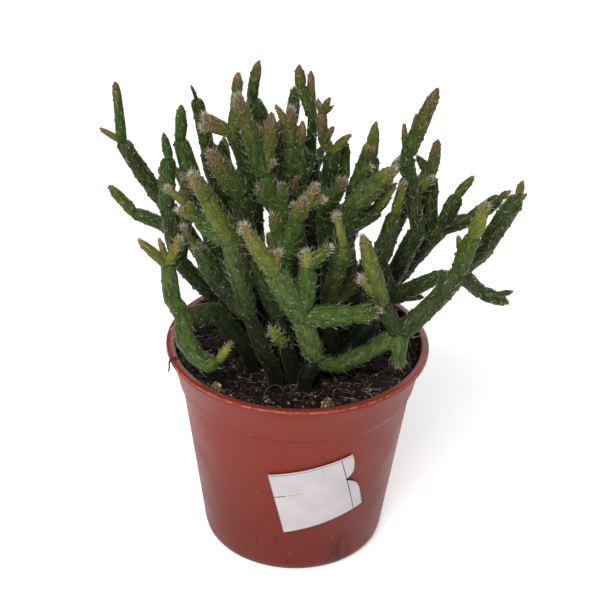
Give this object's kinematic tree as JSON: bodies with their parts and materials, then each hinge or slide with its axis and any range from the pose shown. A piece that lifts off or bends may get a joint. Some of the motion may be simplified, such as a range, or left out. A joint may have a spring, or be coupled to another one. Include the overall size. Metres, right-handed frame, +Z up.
{
  "type": "potted dancing bones cactus",
  "caption": "Small jointed cactus with bristly finger-like stems, standing in soil in a tapered plastic nursery pot with a bare paper label.",
  "frame": {"origin": "middle of the flat underside of the pot's base, on the surface that the pot stands on", "axes": "+Z up along the pot's axis; -Y towards the side with the label and the leaning front stems; +X to the right of that view"},
  "size_m": [0.1005, 0.0706, 0.1248],
  "materials": {
    "pot_plastic": "satin",
    "soil_peat": "matte",
    "label_paper": "matte",
    "stem_skin": "satin"
  },
  "bodies": {
    "root": {"pot": "pot_plastic", "soil": "soil_peat", "label": "label_paper", "stem_front": "stem_skin", "stem_left": "stem_skin", "stem_left_middle": "stem_skin", "stem_low_left": "stem_skin", "stem_far_left": "stem_skin", "stem_far_left_back": "stem_skin", "stem_upper_left": "stem_skin", "stem_upper_left_back": "stem_skin", "stem_centre": "stem_skin", "stem_centre_back": "stem_skin", "stem_back": "stem_skin", "stem_right_centre": "stem_skin", "stem_right_front": "stem_skin", "stem_right": "stem_skin", "stem_right_back": "stem_skin", "stem_right_centre_back": "stem_skin", "stem_rear_left": "stem_skin", "stem_rear_middle": "stem_skin", "stem_rear_right": "stem_skin", "stem_rear_far_right": "stem_skin"}
  },
  "joints": []
}
